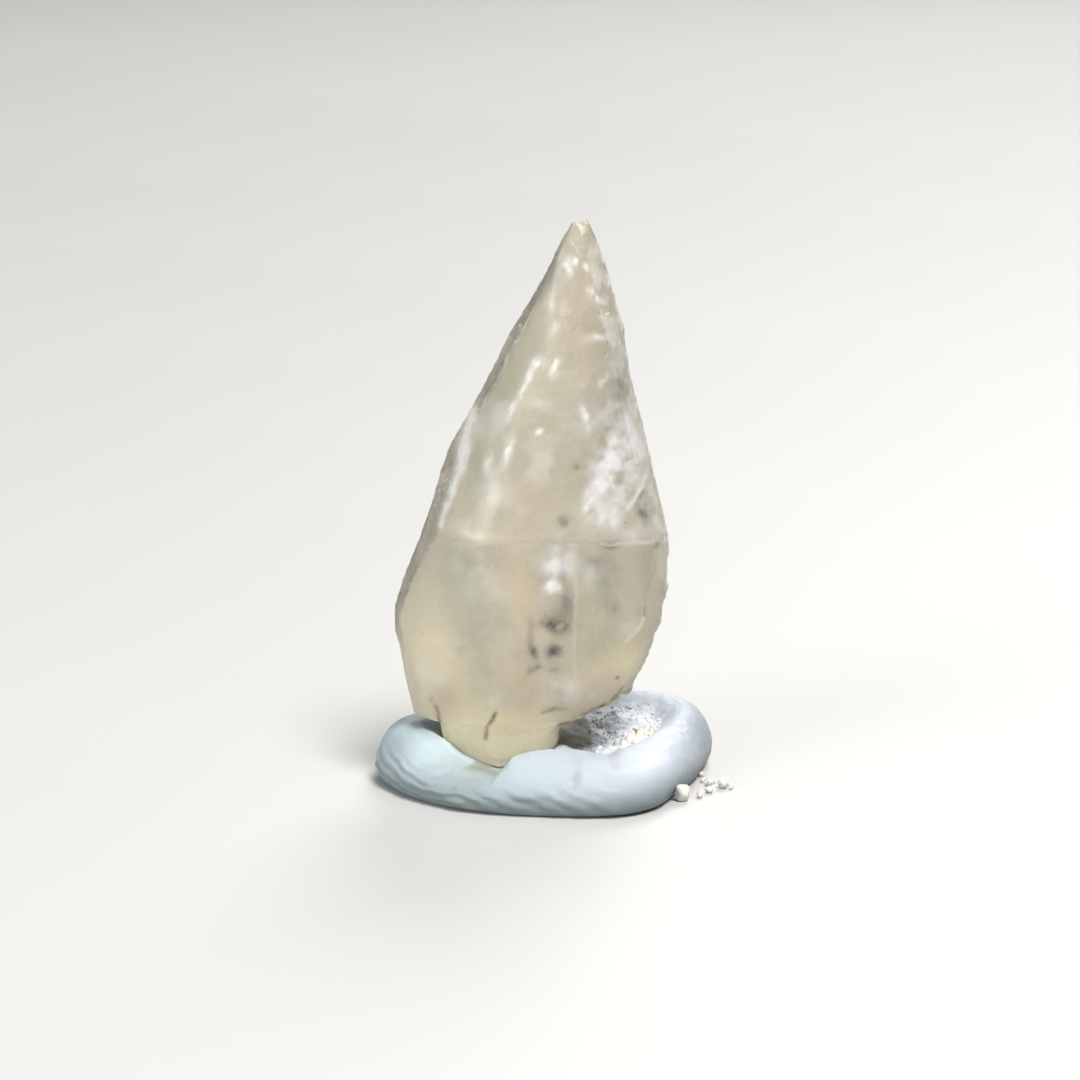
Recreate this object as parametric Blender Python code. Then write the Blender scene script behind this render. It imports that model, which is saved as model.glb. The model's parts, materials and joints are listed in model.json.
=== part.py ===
"""A phenakite crystal standing point up in a ring of soft mounting putty.

Metres, +Z up, +X right and +Y away from the side that shows best. The origin is on the surface
that the putty rests on, under the middle of the whole object.
"""

import math

import bmesh
import bpy
from mathutils import Matrix, Vector

MM = 0.001
NAME = "phenakite"

# Every shape below is measured from the middle of the putty ring. Its outline is lopsided, so
# that middle stands a little off the middle of the whole object.
RING_CENTRE = Vector((-0.114, 0.315, 0.0)) * MM

# The crystal: its widest section lies around GIRDLE, and every flat face is named by the way it
# faces, how far it leans in as it goes up, and how far it lies from GIRDLE at that height.
GIRDLE = Vector((-0.2, 0.1, 8.0)) * MM
BLOCK_SIZE = 60.0 * MM
FOOT_HEIGHT = 1.05 * MM
FOOT_TILT = 4.0
TIP_HEIGHT = 19.92 * MM
TIP_TILT = -6.0

# Each face: degrees from +X that it faces, degrees that it leans in going up, reach in mm.
UPPER_FACES = {
    "centre_front": (-79.0, 17.5, 3.62),
    "left_front": (-126.0, 27.3, 4.58),
    "left_sliver": (-165.0, 18.5, 4.29),
    "left_back": (150.0, 22.2, 4.05),
    "back_left": (113.0, 17.9, 3.98),
    "back": (79.0, 12.7, 3.85),
    "back_right": (27.0, 10.6, 4.47),
    "right_front": (-22.0, 13.4, 4.53),
}
LOWER_FACES = {
    "low_front": (-82.0, -3.0, 3.49),
    "low_left_front": (-135.0, -5.4, 4.50),
    "mid_left": (180.0, -4.0, 5.13),
    "low_left": (178.0, -12.7, 5.60),
    "low_left_corner": (-155.0, -40.0, 9.45),
    "low_left_back": (140.0, -9.0, 4.62),
    "low_back": (86.0, -8.0, 3.95),
    "low_back_right": (35.0, -12.0, 4.75),
    "low_right": (0.0, -7.0, 4.80),
    "low_right_chip": (-8.0, -19.5, 5.30),
    "low_right_back_chip": (38.0, -30.0, 6.00),
}

# The broken underside on the right, which leaves the foot standing lower on the left.
LEDGE_FOOT_X = 0.5 * MM
LEDGE_HEIGHT = 2.40 * MM
LEDGE_RISE = 26.0
LEDGE_TURN = 8.0
LEDGE_BLOCK = 9.0 * MM

# The small bites: where each ball bites, and its radius.
TIP_BITE = (Vector((1.38, 0.75, 20.22)) * MM, 0.30 * MM)
LEFT_BITE = (Vector((-4.75, -2.35, 1.65)) * MM, 0.75 * MM)
RIGHT_BITE = (Vector((4.62, -1.55, 5.05)) * MM, 0.62 * MM)
BITE_SEGMENTS = 24

# The putty: a lump rolled into a ring, pressed down, and pinched up round the foot. Every value
# in a row of twelve is for one direction, 30 degrees apart, from +X round by +Y.
REACH = (5.90, 6.90, 6.20, 5.40, 4.90, 5.30, 6.02, 5.95, 5.95, 6.10, 6.65, 5.78)
CREST_HEIGHT = (2.10, 2.35, 2.25, 2.10, 1.90, 1.90, 2.15, 1.95, 1.30, 1.60, 1.90, 1.95)
CREST_SHARE = (0.80, 0.76, 0.74, 0.74, 0.76, 0.80, 0.80, 0.72, 0.62, 0.55, 0.58, 0.68)
BULGE_HEIGHT = 0.60
SEAT_HEIGHT = 0.95
REST_SHARE = 0.92

# The section before it is fitted to each direction: the seat's edge and the crest, as shares.
SEAT_EDGE = 0.30
CREST_EDGE = 0.70
RING_SEGMENTS = 72
SEAT_STEPS = 2
INNER_STEPS = 6
OUTER_STEPS = 8
UNDER_STEPS = 4

# What rests in the putty keeps this gap all round.
TOUCH_GAP = 0.3 * MM

CRYSTAL_COLOUR = (0.60, 0.55, 0.42, 1.0)
PUTTY_COLOUR = (0.56, 0.68, 0.74, 1.0)


def clear_scene():
    """Empty the scene and give back the collections for the object and for its cutters."""
    for old in list(bpy.data.objects):
        bpy.data.objects.remove(old, do_unlink=True)
    parts = bpy.data.collections.new(NAME)
    cutters = bpy.data.collections.new("cutters")
    bpy.context.scene.collection.children.link(parts)
    bpy.context.scene.collection.children.link(cutters)
    return parts, cutters


def crystal_material():
    """Milky, straw-coloured crystal that some light passes."""
    material = bpy.data.materials.new("crystal")
    material.use_nodes = True
    shader = material.node_tree.nodes["Principled BSDF"]
    shader.inputs["Base Color"].default_value = CRYSTAL_COLOUR
    shader.inputs["Roughness"].default_value = 0.25
    shader.inputs["Transmission Weight"].default_value = 0.4
    shader.inputs["IOR"].default_value = 1.66
    return material


def putty_material():
    """Pale blue putty with a dull skin."""
    material = bpy.data.materials.new("putty")
    material.use_nodes = True
    shader = material.node_tree.nodes["Principled BSDF"]
    shader.inputs["Base Color"].default_value = PUTTY_COLOUR
    shader.inputs["Roughness"].default_value = 0.6
    return material


def add_object(name, bm, collection, material=None):
    """Turn a bmesh into a named object in a collection."""
    mesh = bpy.data.meshes.new(name)
    bmesh.ops.recalc_face_normals(bm, faces=bm.faces)
    bm.to_mesh(mesh)
    bm.free()
    if material is not None:
        mesh.materials.append(material)
    result = bpy.data.objects.new(name, mesh)
    collection.objects.link(result)
    return result


def slice_off(bm, point, normal):
    """Remove what lies past a plane and close the cut with a flat face."""
    geometry = bm.verts[:] + bm.edges[:] + bm.faces[:]
    bmesh.ops.bisect_plane(
        bm, geom=geometry, dist=0.001 * MM, plane_co=point, plane_no=normal, clear_outer=True
    )
    rim = [edge for edge in bm.edges if edge.is_boundary]
    bmesh.ops.holes_fill(bm, edges=rim, sides=0)


def cut_face(bm, facing, lean, reach):
    """Cut one crystal face, by the way it faces, its lean and its reach from the girdle."""
    facing, lean = math.radians(facing), math.radians(lean)
    outward = Vector((math.cos(facing), math.sin(facing), 0.0))
    normal = outward * math.cos(lean) + Vector((0.0, 0.0, math.sin(lean)))
    slice_off(bm, GIRDLE + outward * reach, normal)


def crystal_shape(grow):
    """The whole crystal before it was chipped, with every face moved out by grow."""
    bm = bmesh.new()
    bmesh.ops.create_cube(bm, size=BLOCK_SIZE, matrix=Matrix.Translation(GIRDLE))
    for facing, lean, reach in (*UPPER_FACES.values(), *LOWER_FACES.values()):
        cut_face(bm, facing, lean, reach * MM + grow / math.cos(math.radians(lean)))
    tilt = math.radians(TIP_TILT)
    tip = Vector((math.sin(tilt), 0.0, math.cos(tilt)))
    slice_off(bm, Vector((0.0, 0.0, TIP_HEIGHT + grow)), tip)
    tilt = math.radians(FOOT_TILT)
    foot = Vector((-math.sin(tilt), 0.0, -math.cos(tilt)))
    slice_off(bm, Vector((0.0, 0.0, FOOT_HEIGHT - grow)), foot)
    return bm


def ledge_block():
    """The slanted block that broke away under the right side, upright where it meets the foot."""
    bm = bmesh.new()
    bmesh.ops.create_cube(bm, size=LEDGE_BLOCK)
    half = LEDGE_BLOCK / 2
    bmesh.ops.translate(bm, verts=bm.verts, vec=(half, 0.0, -half))
    slant = Matrix.Identity(4)
    slant[2][0] = math.tan(math.radians(LEDGE_RISE))
    turn = Matrix.Rotation(math.radians(LEDGE_TURN), 4, "Z")
    place = Matrix.Translation((LEDGE_FOOT_X, 0.0, LEDGE_HEIGHT))
    bmesh.ops.transform(bm, matrix=place @ turn @ slant, verts=bm.verts)
    return bm


def ball(centre, radius):
    """A round bite, as a shell-like chip leaves it."""
    bm = bmesh.new()
    bmesh.ops.create_uvsphere(
        bm,
        u_segments=BITE_SEGMENTS,
        v_segments=BITE_SEGMENTS // 2,
        radius=radius,
        matrix=Matrix.Translation(centre),
    )
    return bm


def add_cut(target, name, bm, cutters):
    """Subtract a shape from an object with a live Boolean."""
    cutter = add_object(name, bm, cutters)
    cutter.hide_render = True
    cutter.display_type = "WIRE"
    boolean = target.modifiers.new(name, "BOOLEAN")
    boolean.operation = "DIFFERENCE"
    boolean.solver = "EXACT"
    boolean.object = cutter


def around(values, angle):
    """A smooth closed curve through values that are spaced evenly round the ring."""
    place = angle / (2.0 * math.pi) * len(values) % len(values)
    first = int(place)
    share = place - first
    before, start, end, after = (values[(first + k) % len(values)] for k in (-1, 0, 1, 2))
    bend = 2.0 * before - 5.0 * start + 4.0 * end - after
    twist = 3.0 * (start - end) - before + after
    return start + 0.5 * share * ((end - before) + share * (bend + share * twist))


def ease(share):
    """A smooth step from 0 to 1."""
    return share * share * (3.0 - 2.0 * share)


def putty_profile():
    """The section as shares, from the seat out over the crest and under.

    Height runs from 0 to 1 up to the crest, and from 0 to -1 down to the resting face.
    """
    points = []
    for step in range(1, SEAT_STEPS + 1):
        points.append((SEAT_EDGE * step / SEAT_STEPS, 0.0))
    for step in range(1, INNER_STEPS + 1):
        share = step / INNER_STEPS
        points.append((SEAT_EDGE + (CREST_EDGE - SEAT_EDGE) * share, ease(share)))
    for step in range(1, OUTER_STEPS + 1):
        turn = math.radians(90.0 * step / OUTER_STEPS)
        points.append((CREST_EDGE + (1.0 - CREST_EDGE) * math.sin(turn), math.cos(turn)))
    for step in range(1, UNDER_STEPS + 1):
        turn = math.radians(90.0 * step / UNDER_STEPS)
        points.append((REST_SHARE + (1.0 - REST_SHARE) * math.cos(turn), -math.sin(turn)))
    return points


def fit_to_ring(point):
    """Move a point of the turned section to the putty's own reach and height in its direction."""
    angle = math.atan2(point.y, point.x)
    share = math.hypot(point.x, point.y)
    crest = around(CREST_SHARE, angle)
    crest_height = around(CREST_HEIGHT, angle)
    if point.z < -0.5 / UNDER_STEPS:
        height = BULGE_HEIGHT * (1.0 + point.z)
    elif share <= CREST_EDGE:
        height = SEAT_HEIGHT + (crest_height - SEAT_HEIGHT) * point.z
        share *= crest / CREST_EDGE
    else:
        height = BULGE_HEIGHT + (crest_height - BULGE_HEIGHT) * point.z
        share = crest + (share - CREST_EDGE) / (1.0 - CREST_EDGE) * (1.0 - crest)
    radius = share * around(REACH, angle) * MM
    return Vector((radius * math.cos(angle), radius * math.sin(angle), height * MM))


def putty_shape():
    """The pressed ring: the section turned once round, then fitted to each direction."""
    bm = bmesh.new()
    chain = [bm.verts.new((share, 0.0, height)) for share, height in putty_profile()]
    edges = [bm.edges.new(pair) for pair in zip(chain, chain[1:])]
    bmesh.ops.spin(
        bm,
        geom=chain + edges,
        cent=(0.0, 0.0, 0.0),
        axis=(0.0, 0.0, 1.0),
        angle=2.0 * math.pi,
        steps=RING_SEGMENTS,
        use_merge=True,
    )
    for vert in bm.verts:
        vert.co = fit_to_ring(vert.co)
    rim = [edge for edge in bm.edges if edge.is_boundary]
    bmesh.ops.holes_fill(bm, edges=rim, sides=0)
    return bm


def build():
    """Make the crystal and the putty."""
    parts, cutters = clear_scene()
    crystal = add_object("crystal", crystal_shape(0.0), parts, crystal_material())
    add_cut(crystal, "ledge_cutter", ledge_block(), cutters)
    add_cut(crystal, "tip_bite_cutter", ball(*TIP_BITE), cutters)
    add_cut(crystal, "left_bite_cutter", ball(*LEFT_BITE), cutters)
    add_cut(crystal, "right_bite_cutter", ball(*RIGHT_BITE), cutters)

    putty = add_object("putty", putty_shape(), parts, putty_material())
    add_cut(putty, "seat_cutter", crystal_shape(TOUCH_GAP), cutters)

    for thing in (*parts.objects, *cutters.objects):
        thing.location = RING_CENTRE


build()
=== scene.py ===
"""A milky phenakite crystal standing point up in a pinched ring of mounting putty.

Every shape is worked out as whole arrays, in millimetres from the middle of the putty ring, with
+Z up and +Y away from the side that shows best. A mesh gets its points in metres, in the frame's
own place.
"""

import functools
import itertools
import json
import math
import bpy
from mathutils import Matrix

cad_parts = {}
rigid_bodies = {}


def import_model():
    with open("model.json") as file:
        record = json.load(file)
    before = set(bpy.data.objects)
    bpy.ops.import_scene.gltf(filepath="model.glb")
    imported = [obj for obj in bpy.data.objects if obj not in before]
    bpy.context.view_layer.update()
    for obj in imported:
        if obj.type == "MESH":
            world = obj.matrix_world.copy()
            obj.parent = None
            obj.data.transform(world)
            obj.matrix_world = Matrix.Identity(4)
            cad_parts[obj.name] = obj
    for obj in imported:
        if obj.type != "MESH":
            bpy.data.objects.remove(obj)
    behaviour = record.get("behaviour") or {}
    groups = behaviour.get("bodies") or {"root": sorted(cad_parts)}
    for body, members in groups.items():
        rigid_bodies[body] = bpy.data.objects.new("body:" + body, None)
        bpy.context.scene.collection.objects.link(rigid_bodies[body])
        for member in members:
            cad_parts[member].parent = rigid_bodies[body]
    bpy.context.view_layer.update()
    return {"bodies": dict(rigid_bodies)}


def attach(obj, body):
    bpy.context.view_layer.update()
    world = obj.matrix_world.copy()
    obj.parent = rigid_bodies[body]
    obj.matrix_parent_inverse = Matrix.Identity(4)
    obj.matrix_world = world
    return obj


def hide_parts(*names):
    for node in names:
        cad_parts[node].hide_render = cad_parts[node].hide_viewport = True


bl_info = {
    "name": "Phenakite crystal in putty",
    "version": (1, 0, 0),
    "blender": (4, 5, 0),
    "location": "3D View > Sidebar > Mineral",
    "description": "Builds a translucent crystal, its putty, its grains and a plain stage",
    "category": "Add Mesh",
}

import bpy
import numpy as np
from bpy.props import FloatProperty, FloatVectorProperty, IntProperty, PointerProperty
from bpy.types import Operator, Panel, PropertyGroup
from mathutils import Vector

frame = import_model()
BODY = sorted(frame["bodies"])[0]

MM = 0.001
RING_CENTRE = np.array((-0.114, 0.315, 0.0))

# The crystal's corner lines, each from the foot's underside to the tip.
CORNERS = {
    "left": (
        (-3.5, -0.5, 1.15), (-3.65, -0.6, 2.5), (-4.62, 0.0, 2.45), (-5.02, 0.1, 4.15),
        (-5.25, 0.2, 6.2), (-4.3, 0.3, 9.1), (-3.32, 0.2, 12.0), (-2.25, 0.15, 14.0),
        (-1.03, 0.35, 16.3), (0.33, 0.55, 18.6), (1.05, 0.72, 19.95),
    ),
    "bevel": (
        (-3.38, -1.8, 1.15), (-3.62, -1.9, 2.42), (-4.35, -1.3, 2.45), (-4.75, -1.2, 4.2),
        (-5.02, -0.85, 6.3), (-3.53, -2.2, 9.55), (-2.73, -1.4, 12.0), (-1.98, -0.72, 13.95),
        (-0.64, -0.2, 16.3), (0.46, 0.14, 18.6), (1.08, 0.6, 19.98),
    ),
    "beads": (
        (-1.5, -2.95, 1.05), (-1.5, -3.15, 2.2), (-1.55, -3.3, 2.6), (-1.6, -3.6, 4.3),
        (-1.5, -3.75, 6.6), (-1.88, -3.5, 9.3), (-1.25, -2.75, 12.1), (-0.7, -1.95, 14.05),
        (0.42, -0.95, 16.3), (0.45, 0.0, 18.6), (1.15, 0.52, 20.0),
    ),
    "middle": (
        (0.35, -2.7, 1.1), (0.5, -2.8, 2.35), (1.11, -2.75, 2.6), (1.11, -3.3, 4.1),
        (1.11, -3.5, 6.2), (1.12, -2.85, 9.1), (1.0, -2.2, 12.0), (1.05, -1.55, 14.0),
        (1.25, -0.75, 16.3), (1.16, -0.12, 18.6), (1.43, 0.48, 19.95),
    ),
    "band": (
        (0.4, -1.4, 1.1), (0.55, -1.5, 2.3), (2.75, -2.1, 3.45), (3.05, -2.2, 4.1),
        (3.75, -2.0, 6.1), (3.96, -1.7, 8.9), (3.26, -1.25, 11.8), (2.79, -0.8, 13.9),
        (2.24, -0.3, 16.2), (1.69, 0.05, 18.6), (1.6, 0.55, 20.02),
    ),
    "right": (
        (0.4, 0.1, 1.1), (0.55, 0.2, 2.3), (3.15, 0.0, 3.25), (3.7, 0.1, 4.25), (4.38, 0.2, 6.2),
        (4.64, 0.3, 8.45), (3.82, 0.3, 12.0), (3.32, 0.3, 14.0), (2.86, 0.4, 16.3),
        (2.23, 0.55, 18.6), (1.73, 0.75, 19.8),
    ),
    "back_right": (
        (0.35, 1.3, 1.1), (0.5, 1.6, 2.2), (2.1, 2.7, 3.0), (2.4, 3.1, 4.2), (2.9, 3.5, 6.3),
        (3.1, 3.05, 8.6), (2.73, 2.53, 12.0), (2.53, 2.12, 14.0), (2.29, 1.63, 16.3),
        (2.06, 1.15, 18.6), (1.62, 0.93, 19.92),
    ),
    "back": (
        (-0.9, 1.7, 1.1), (-0.8, 2.2, 2.2), (-0.1, 3.1, 2.8), (-0.1, 3.45, 4.2), (0.0, 3.95, 6.3),
        (-0.55, 3.75, 8.8), (-0.07, 3.08, 12.0), (0.33, 2.54, 14.0), (0.78, 1.93, 16.3),
        (1.23, 1.31, 18.6), (1.42, 1.0, 19.95),
    ),
    "back_left": (
        (-2.4, 1.4, 1.1), (-2.6, 1.8, 2.3), (-2.5, 3.0, 2.6), (-2.7, 3.35, 4.2),
        (-2.9, 3.75, 6.3), (-2.75, 2.9, 9.0), (-1.67, 2.4, 12.0), (-0.95, 2.0, 14.0),
        (-0.13, 1.54, 16.3), (0.68, 1.08, 18.6), (1.16, 0.92, 19.93),
    ),
}
# Mesh rows between one listed height and the next, and mesh columns from one corner to the next.
ROWS = (22, 30, 22, 30, 42, 40, 28, 32, 32, 20)
COLUMNS = (20, 42, 46, 46, 24, 34, 32, 30, 26)
CROWNS = (0.02, 0.06, 0.03, 0.05, 0.05, 0.10, 0.05, 0.08, 0.12)
SHARP_LEVELS = (0, 1, 2, 5, 6, 7, 8, 9, 10)
CAP_ROWS = 10
TIP_PEAK = (1.60, 0.68, 20.11)
SLIVER, LEFT_FACE, FRONT_FACE, RIGHT_FACE, EDGE_BAND = range(5)
# How often the faces are softened, and how much of that reaches the crisp edges.
SOFTENING_ROUNDS = 180
CRISP_SPREAD = 0.022
# White of the bruises and of the painted highlights.
BRUISE_AND_HIGHLIGHT_COLOUR = (0.97, 0.965, 0.95)

# Marks on the side that shows best: x, z, half height, half width, lean to the right, strength.
# White bruises and pits, with painted highlights: the beads along the ridge, the spots at the tip
# and the bright core of the veil.
BRUISES_AND_HIGHLIGHTS = (
    (0.36, 16.3, 0.26, 0.11, 25, 0.6), (-0.25, 15.2, 0.25, 0.13, 35, 0.7),
    (-0.46, 14.77, 0.21, 0.11, 30, 0.7), (-0.7, 14.31, 0.25, 0.11, 25, 0.7),
    (-1.05, 13.67, 0.28, 0.11, 20, 0.5), (-1.17, 12.33, 0.35, 0.12, 15, 0.5),
    (-1.89, 11.98, 0.42, 0.11, 10, 0.4), (0.46, 15.13, 0.28, 0.12, 25, 0.75),
    (2.13, 14.56, 0.21, 0.12, 30, 0.9), (1.51, 13.35, 0.32, 0.12, -20, 0.8),
    (-0.12, 12.96, 0.1, 0.1, 0, 0.9), (2.15, 16.02, 0.11, 0.35, 0, 0.6),
    (0.93, 18.32, 0.14, 0.11, 0, 1.0), (1.17, 18.63, 0.12, 0.08, 0, 0.9),
    (0.8, 18.5, 0.28, 0.22, 40, 0.5), (1.53, 18.5, 0.15, 0.09, -20, 0.8),
    (1.95, 17.42, 0.24, 0.1, -40, 0.9), (1.8, 17.5, 0.16, 0.1, 0, 0.6),
    (1.62, 17.62, 0.2, 0.11, 0, 0.3), (1.46, 14.57, 0.11, 0.11, 0, 0.4),
    (0.35, 17.3, 0.18, 0.11, 0, 0.4), (0.25, 7.74, 0.16, 0.1, 30, 0.9),
    (0.52, 7.72, 0.2, 0.11, -25, 0.9), (0.38, 7.56, 0.1, 0.13, 0, 0.9),
    (0.4, 8.48, 0.49, 0.18, 5, 0.5), (-1.66, 3.55, 0.14, 0.18, 0, 0.2),
    (2.36, 11.43, 0.58, 0.25, 32, 1.0), (2.2, 11.05, 0.3, 0.2, 10, 0.8),
    (1.65, 10.53, 0.32, 0.18, 10, 0.8), (2.04, 9.85, 0.28, 0.14, 0, 0.6),
    (2.57, 9.81, 0.25, 0.14, 0, 0.7), (0.7, 17.21, 0.21, 0.11, 0, 0.2),
)
VEILS = (
    (2.5, 11.51, 2.25, 0.95, 6, 0.62), (2.32, 12.21, 1.23, 0.6, 10, 0.4),
    (2.85, 12.9, 0.9, 0.5, 0, 0.4), (3.24, 9.4, 0.32, 0.7, 0, 0.7),
    (2.04, 10.53, 0.88, 0.56, 0, 0.5), (2.82, 11.05, 0.56, 0.42, 0, 0.5),
    (0.63, 8.57, 0.77, 0.42, 0, 0.35), (1.68, 8.3, 0.49, 0.49, 0, 0.3),
    (-2.66, 8.18, 0.77, 0.77, 0, 0.35), (0.4, 8.14, 0.7, 0.63, 0, 0.6),
    (-1.93, 11.81, 0.28, 0.14, 0, 0.6), (-1.43, 10.47, 0.88, 0.88, 0, 0.28),
    (2.22, 12.96, 0.56, 0.49, 0, 0.45), (-1.71, 3.4, 0.25, 0.35, 0, 0.4),
    (0.16, 17.27, 0.18, 0.18, 0, 0.4), (-3.06, 10.51, 0.84, 0.18, 12, 0.4),
    (1.0, 3.6, 0.45, 1.1, 0, 0.4), (-4.1, 4.0, 0.6, 0.5, 0, 0.5), (3.2, 6.1, 0.5, 0.55, 0, 0.35),
    (3.0, 10.2, 0.7, 0.6, 0, 0.45), (3.6, 12.2, 1.0, 0.3, -8, 0.4), (2.6, 13.3, 0.5, 0.5, 0, 0.4),
    (0.7, 4.0, 0.4, 0.5, 0, 0.5), (3.2, 12.3, 1.0, 0.35, -10, 0.45),
    (3.3, 10.9, 0.8, 0.4, 0, 0.4),
)
SHADE = (
    (-2.21, 12.19, 1.58, 0.25, 12, 0.93), (-1.72, 11.76, 1.05, 0.21, 15, 0.54),
    (2.3, 7.38, 1.58, 1.05, 0, 0.85), (3.67, 6.91, 1.05, 0.49, 0, 0.39),
    (-2.13, 5.34, 1.58, 0.7, 0, 0.62), (-1.49, 6.74, 1.4, 0.28, 0, 0.46),
    (2.62, 13.78, 0.98, 0.63, 0, 0.62), (2.08, 16.29, 0.88, 0.35, 0, 0.54),
    (3.17, 11.46, 0.56, 0.28, 0, 0.46), (-4.54, 7.63, 1.05, 0.28, 20, 0.54),
    (0.63, 11.64, 0.7, 1.05, 0, 0.19),
)
SMOKE = (
    (0.74, 9.87, 0.21, 0.21, 0, 0.5), (2.43, 8.96, 0.12, 0.32, -5, 0.8),
    (1.75, 8.46, 0.18, 0.28, 20, 0.45), (2.21, 7.94, 0.77, 0.56, 0, 0.22),
    (3.6, 10.02, 0.35, 0.18, -25, 0.85), (3.5, 10.65, 0.18, 0.09, 0, 0.7),
    (0.92, 6.9, 0.52, 0.17, 0, 0.8), (0.46, 6.36, 0.24, 0.55, 8, 0.95),
    (0.52, 6.72, 0.42, 0.45, 0, 0.25), (-0.35, 6.41, 0.28, 0.12, 0, 0.3),
    (-0.32, 5.43, 0.42, 0.15, -15, 0.7), (0.45, 5.42, 0.36, 0.28, 20, 0.8),
    (-0.32, 4.73, 0.12, 0.28, -20, 0.6), (0.41, 4.72, 0.12, 0.21, 0, 0.4),
    (0.55, 3.19, 0.14, 0.42, 10, 0.35), (2.6, 6.66, 0.11, 0.14, 0, 0.45),
    (2.64, 4.19, 0.06, 0.07, 0, 0.8), (2.85, 14.2, 1.05, 0.38, -12, 0.42),
    (0.73, 7.54, 1.4, 0.14, 0, 0.25),
)
GREEN = (
    (-1.3, 13.97, 3.16, 0.77, 22, 0.65), (-1.93, 12.13, 2.11, 0.32, 18, 0.65),
    (-2.45, 7.85, 1.12, 1.05, 0, 0.72), (-2.04, 5.11, 1.47, 0.77, 0, 0.78),
    (2.75, 5.04, 1.05, 0.84, 0, 0.45), (0.28, 12.34, 2.11, 0.88, 0, 0.2),
)
# Yellowish zones, and painted glow where light shines through the lower body.
STRAW_AND_GLOW = (
    (-3.9, 4.71, 1.75, 1.12, 0, 0.95), (-2.37, 2.23, 1.05, 1.23, 0, 0.72),
    (-0.78, 2.65, 0.77, 1.23, 0, 0.66), (-4.69, 6.72, 1.58, 0.49, 20, 0.6),
    (2.93, 4.83, 0.88, 0.56, -20, 0.6), (1.16, 3.54, 0.63, 1.4, 0, 0.36),
    (-1.2, 1.6, 1.1, 3.0, 0, 0.84), (-3.96, 6.86, 1.23, 0.63, 0, 0.48),
    (-4.19, 4.98, 0.7, 0.49, 0, 0.6), (3.37, 4.61, 0.7, 0.49, 0, 0.6),
    (2.2, 4.4, 0.8, 0.9, 0, 0.45), (-0.6, 2.2, 0.6, 1.1, 0, 0.2),
    (4.31, 7.82, 0.35, 0.21, 0, 0.6), (-1.81, 9.4, 0.14, 1.4, 0, 0.48),
)
WARM = (
    (-0.77, 7.26, 2.11, 0.63, 0, 0.81), (-0.77, 4.37, 1.58, 0.7, 0, 0.68),
    (1.51, 17.02, 1.58, 0.63, 0, 0.54), (-4.92, 3.15, 0.77, 0.42, 0, 0.54),
    (1.69, 3.87, 0.63, 1.05, 0, 0.68), (-3.33, 3.51, 0.56, 0.35, 0, 0.54),
    (-0.07, 10.65, 1.05, 1.05, 0, 0.34), (-3.55, 3.32, 0.42, 0.49, 0, 0.54),
    (1.25, 3.18, 0.49, 0.88, 0, 0.54), (3.17, 5.78, 0.42, 0.35, 0, 0.47),
)
OCHRE = (
    (1.18, 11.7, 0.08, 0.11, 0, 0.8), (2.99, 11.84, 0.09, 0.11, 0, 0.7),
    (2.09, 11.91, 0.07, 0.11, 0, 0.4), (2.6, 12.26, 0.07, 0.11, 0, 0.5),
    (2.9, 9.71, 0.05, 0.05, 0, 0.7), (4.16, 8.74, 0.11, 0.12, 0, 0.9),
    (4.4, 6.76, 0.12, 0.07, 0, 0.8), (-3.77, 2.79, 0.28, 0.14, 0, 0.8),
    (3.51, 8.6, 0.05, 0.07, 0, 0.3), (0.5, 1.7, 0.2, 0.18, 0, 0.7),
    (-3.98, 3.2, 0.18, 0.07, 20, 0.5),
)
# Lines on the side that shows best: points x, z, then half width and strength.
STAINED_CRACKS = (
    (((-1.62, 3.05), (-1.78, 2.78), (-1.97, 2.45), (-2.02, 2.05)), 0.075, 0.85),
    (((-3.82, 2.97), (-3.73, 2.64), (-3.7, 2.5)), 0.09, 0.9),
    (
        ((0.64, 2.57), (1.17, 2.63), (1.7, 2.79), (2.2, 3.07), (2.52, 3.36), (2.91, 3.75)),
        0.09, 0.75,
    ),
    (((3.72, 6.68), (3.64, 6.36)), 0.04, 0.8),
    (((4.42, 8.86), (4.16, 8.76), (3.99, 8.7)), 0.05, 0.7),
    (((0.04, 3.04), (0.53, 3.21), (0.76, 3.17)), 0.07, 0.5),
    (((4.0, 8.26), (3.82, 7.42), (3.6, 6.91)), 0.03, 0.3),
)
WHITE_LINES = (
    (((3.66, 11.1), (3.51, 10.78), (3.25, 10.4), (2.99, 10.17)), 0.08, 0.75),
    # These two rows paint the highlight caught along the left bevel.
    (((-2.48, 13.4), (-2.68, 12.45), (-2.92, 11.47)), 0.19, 1.0),
    (((-2.92, 11.47), (-3.17, 10.73), (-3.45, 9.95), (-3.59, 9.51)), 0.11, 0.9),
    (((3.6, 6.3), (3.32, 5.86), (2.95, 5.5)), 0.07, 0.45),
    (((2.1, 9.02), (2.39, 8.99), (3.99, 8.92)), 0.05, 0.5),
    (((1.12, 8.55), (1.14, 7.19), (1.16, 5.79), (1.16, 3.93)), 0.07, 0.14),
)
DIM_LINES = (
    (
        (
            (0.49, 18.65), (-0.02, 17.82), (-0.47, 17.04), (-0.93, 16.07), (-1.45, 15.02),
            (-1.92, 14.1),
        ),
        0.17, 0.95,
    ),
    (((1.4, 8.23), (1.88, 8.71), (2.52, 8.82), (3.81, 8.7)), 0.18, 0.4),
)
CREASE = ((-3.02, 9.16), (-1.47, 9.30), (-0.07, 9.19), (1.33, 9.10), (2.39, 8.97), (3.99, 8.88))
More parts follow.
